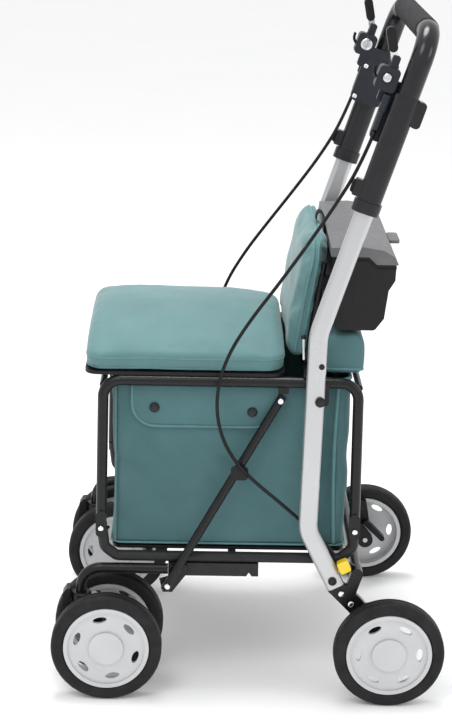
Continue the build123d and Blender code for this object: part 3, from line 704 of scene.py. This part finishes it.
def make_strap():
    low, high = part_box("backrest_strap")
    y0, y1 = low[1], high[1]
    line = [
        (-0.0935, 0.690),
        (-0.0945, 0.698),
        (-0.0975, 0.7020),
        (-0.1025, 0.7005),
        (-0.1058, 0.694),
        (-0.1069, 0.684),
        (-0.1072, 0.6685),
    ]
    half = 0.0008
    rows = []
    for k, (x, z) in enumerate(line):
        before, after = line[max(0, k - 1)], line[min(len(line) - 1, k + 1)]
        along = Vector((after[0] - before[0], 0, after[1] - before[1])).normalized()
        normal = Vector((along.z, 0, -along.x)) * half
        rows.append([Vector((x, y, z)) + normal * side for side, y in ((1, y0), (1, y1), (-1, y1), (-1, y0))])
    points = [p for row in rows for p in row]
    faces = [(0, 1, 2, 3), tuple(len(points) - 4 + k for k in (3, 2, 1, 0))]
    for r in range(len(rows) - 1):
        for k in range(4):
            a, b = r * 4 + k, r * 4 + (k + 1) % 4
            faces.append((b, a, a + 4, b + 4))
    strap = mesh_from("strap_loop", points, faces, True)
    bevel = strap.modifiers.new("edge", "BEVEL")
    bevel.width = 0.0004
    bevel.segments = 2
    apply_modifiers(strap)
    dress(strap, "webbing", "front_frame")
    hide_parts("backrest_strap")


# ------------------------------------------------------------------ cables
CABLE_TOP = [
    (-0.1612, 0.193, 0.8552),
    (-0.142, 0.1915, 0.803),
    (-0.110, 0.1925, 0.748),
    (-0.072, 0.202, 0.692),
]
CABLE_MIDDLE = [
    (-0.072, 0.202, 0.692),
    (-0.032, 0.2115, 0.636),
    (0.006, 0.2115, 0.584),
    (0.038, 0.210, 0.530),
    (0.053, 0.207, 0.474),
    (0.050, 0.204, 0.420),
    (0.030, 0.2015, 0.372),
    (-0.002, 0.199, 0.336),
    (-0.044, 0.1905, 0.298),
    (-0.088, 0.1855, 0.257),
    (-0.122, 0.191, 0.225),
    (-0.1275, 0.1935, 0.217),
]


def nurbs_points(points, steps):
    """Points along the cable's own smooth curve."""
    curve = bpy.data.curves.new("guide", "CURVE")
    curve.dimensions = "3D"
    curve.resolution_u = steps
    spline = curve.splines.new("NURBS")
    spline.points.add(len(points) - 1)
    for point, place in zip(spline.points, points):
        point.co = (*place, 1)
    spline.order_u = 3
    spline.use_endpoint_u = True
    obj = bpy.data.objects.new("guide", curve)
    mesh = bpy.data.meshes.new_from_object(obj)
    line = [v.co.copy() for v in mesh.vertices]
    bpy.data.objects.remove(obj)
    bpy.data.meshes.remove(mesh)
    return line


def skin(name, line, radius, sides=14):
    points, faces = [], []
    side = Vector((0, 1, 0))
    for k, place in enumerate(line):
        along = (line[min(len(line) - 1, k + 1)] - line[max(0, k - 1)]).normalized()
        up = along.cross(side).normalized()
        out = up.cross(along).normalized()
        for n in range(sides):
            turn = 2 * math.pi * n / sides
            points.append(place + radius * (math.cos(turn) * out + math.sin(turn) * up))
    for r in range(len(line) - 1):
        for n in range(sides):
            a, b = r * sides + n, r * sides + (n + 1) % sides
            faces.append((a, b, b + sides, a + sides))
    faces.append(tuple(range(sides - 1, -1, -1)))
    last = (len(line) - 1) * sides
    faces.append(tuple(last + n for n in range(sides)))
    return mesh_from(name, points, faces, True)


def make_cables():
    """Each brake cable in three lengths, cut where the body that carries it changes."""
    for side, sign in SIDES:
        route = [(x, sign * y, z) for x, y, z in CABLE_TOP + CABLE_MIDDLE[1:]]
        line = nurbs_points(route, 10)
        clip_at = Vector((0.006, sign * 0.1995, 0.345))
        clip = min(range(len(line)), key=lambda k: (line[k] - clip_at).length)
        upper = min(range(clip), key=lambda k: abs(line[k].z - 0.692))
        lengths = (
            ("top", line[: upper + 1], "handle", "rear_frame"),
            ("bow", line[upper : clip + 1], "rear_frame", "front_frame"),
            ("tail", line[clip:], "front_frame", "rear_frame"),
        )
        for name, run, start_body, end_body in lengths:
            piece = skin(f"cable_{name}_{side}", run, CABLE_RADIUS)
            dress(piece, "cable")
            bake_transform(piece)
            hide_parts(f"brake_cable_{side}")


# ------------------------------------------------------------------ small fittings
def leg_point(across, along, z):
    x = -0.092 - (z - 0.560) * math.tan(LEAN)
    return (
        x + across * math.cos(LEAN) - along * math.sin(LEAN),
        z + across * math.sin(LEAN) + along * math.cos(LEAN),
    )


def make_grip():
    """Foam sleeve over the hoop's crossbar, with rounded, slightly swollen ends."""
    low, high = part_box("handle_grip")
    centre_z = high[2] - 0.0158
    centre_x = low[0] + 0.0158
    half = 0.152
    stations, sides = 90, 40
    points, faces = [], []
    for k in range(stations + 1):
        t = -1 + 2 * k / stations
        y = half * t
        end = min(1.0, (1 - abs(t)) * half / 0.004)
        radius = 0.0163 + 0.0011 * math.sqrt(end)
        for n in range(sides):
            turn = 2 * math.pi * n / sides
            dimple = 0.00035 * noise.noise(Vector((math.cos(turn) * 6, y * 260, math.sin(turn) * 6)))
            r = radius + dimple
            points.append((centre_x + r * math.cos(turn), y, centre_z + r * math.sin(turn)))
    for k in range(stations):
        for n in range(sides):
            a, b = k * sides + n, k * sides + (n + 1) % sides
            faces.append((b, a, a + sides, b + sides))
    for k, y in ((0, -half), (stations, half)):
        inner = len(points)
        for n in range(sides):
            turn = 2 * math.pi * n / sides
            points.append((centre_x + 0.0157 * math.cos(turn), y, centre_z + 0.0157 * math.sin(turn)))
        for n in range(sides):
            a, b = k * sides + n, k * sides + (n + 1) % sides
            c, d = inner + (n + 1) % sides, inner + n
            faces.append((a, b, c, d) if k == 0 else (b, a, d, c))
    sleeve = mesh_from("foam_sleeve", points, faces, True)
    dress(sleeve, "foam", "handle")


def make_fasteners():
    """Screw and rivet heads: name, x, distance from the centre plane, z, radius and height."""
    rivets = (
        ("frame_rivet_front", 0.2205, 0.1926, 0.253, 0.0042, 0.0018, "front_frame"),
        ("frame_rivet_rear", -0.1567, 0.1926, 0.253, 0.0042, 0.0018, "front_frame"),
        ("brace_rivet_top", -0.041, 0.1904, 0.455, 0.0044, 0.002, "front_frame"),
        ("brace_rivet_low", 0.121, 0.2087, 0.168, 0.0044, 0.002, "front_frame"),
        ("bracket_rivet_upper", -0.139, 0.208, 0.160, 0.0046, 0.0018, "rear_frame"),
        ("bracket_rivet_lower", -0.154, 0.208, 0.144, 0.0046, 0.0018, "rear_frame"),
    )
    dark_screws = (
        ("tube_screw_upper", -0.0979, 0.2096, 0.514, 0.0036, 0.0014, "rear_frame"),
        ("tube_screw_foot", -0.125, 0.2104, 0.181, 0.0036, 0.0014, "rear_frame"),
        ("fold_pivot", -0.0974, 0.2114, 0.461, 0.0052, 0.0015, "front_frame"),
    )
    for side, sign in SIDES:
        for k, (across, along) in enumerate(((24, -34), (-11, -8), (23, 16))):
            x, z = leg_point(across / 1000, along / 1000, 0.872)
            at = (x, sign * 0.1766, z)
            dome(f"housing_screw_{k}_{side}", at, 0.0038, 0.0016, -sign, "bright", "handle")
        x, z = leg_point(0.036, -0.013, 0.931)
        at = (x, sign * 0.203, z)
        dome(f"pivot_screw_{side}", at, 0.0062, 0.0022, sign, "zinc", "handle")
        x, z = leg_point(0.034, -0.014, 0.931)
        at = (x, sign * 0.177, z)
        dome(f"pivot_cap_{side}", at, 0.0095, 0.002, -sign, "zinc", "handle")
        for name, x, y, z, radius, height, body in rivets:
            at = (x, sign * y, z)
            dome(f"{name}_{side}", at, radius, height, sign, "bright", body, False)
        for name, x, y, z, radius, height, body in dark_screws:
            at = (x, sign * y, z)
            dome(f"{name}_{side}", at, radius, height, sign, "snap", body)


def make_lever_detail():
    """Park hook: the small black hook in front of the lever's pin."""
    for side, sign in SIDES:
        x, z = leg_point(0.040, -0.022, 0.931)
        hook = [
            (x, sign * 0.188, z),
            (x + 0.008, sign * 0.188, z + 0.006),
            (x + 0.012, sign * 0.188, z + 0.016),
            (x + 0.009, sign * 0.188, z + 0.023),
        ]
        tube(f"park_hook_{side}", hook, 0.0022, False, "plastic", "handle", 3)


def make_box_trim():
    """Raised rib round the storage box, below its lid."""
    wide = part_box("storage_box")[1][1]
    path = ((-0.1128, 0.6600), (-0.1640, 0.6600), (-0.1745, 0.6490), (-0.2035, 0.6488))
    for side, sign in SIDES:
        points = [(x, sign * (wide + 0.0004), z) for x, z in path]
        tube(f"box_rib_{side}", points, 0.0009, False, "box", "front_frame", 2)
    back = [(-0.2040, y / 100 * wide, 0.6488) for y in range(-98, 99, 14)]
    tube("box_rib_back", back, 0.0009, False, "box", "front_frame", 2)


make_camera()
make_cables()
make_studio()
finish_cad()
make_seat()
make_backrest()
make_bag()
make_flap()
make_rear_cover()
make_strap()
make_grip()
make_fasteners()
make_lever_detail()
make_box_trim()
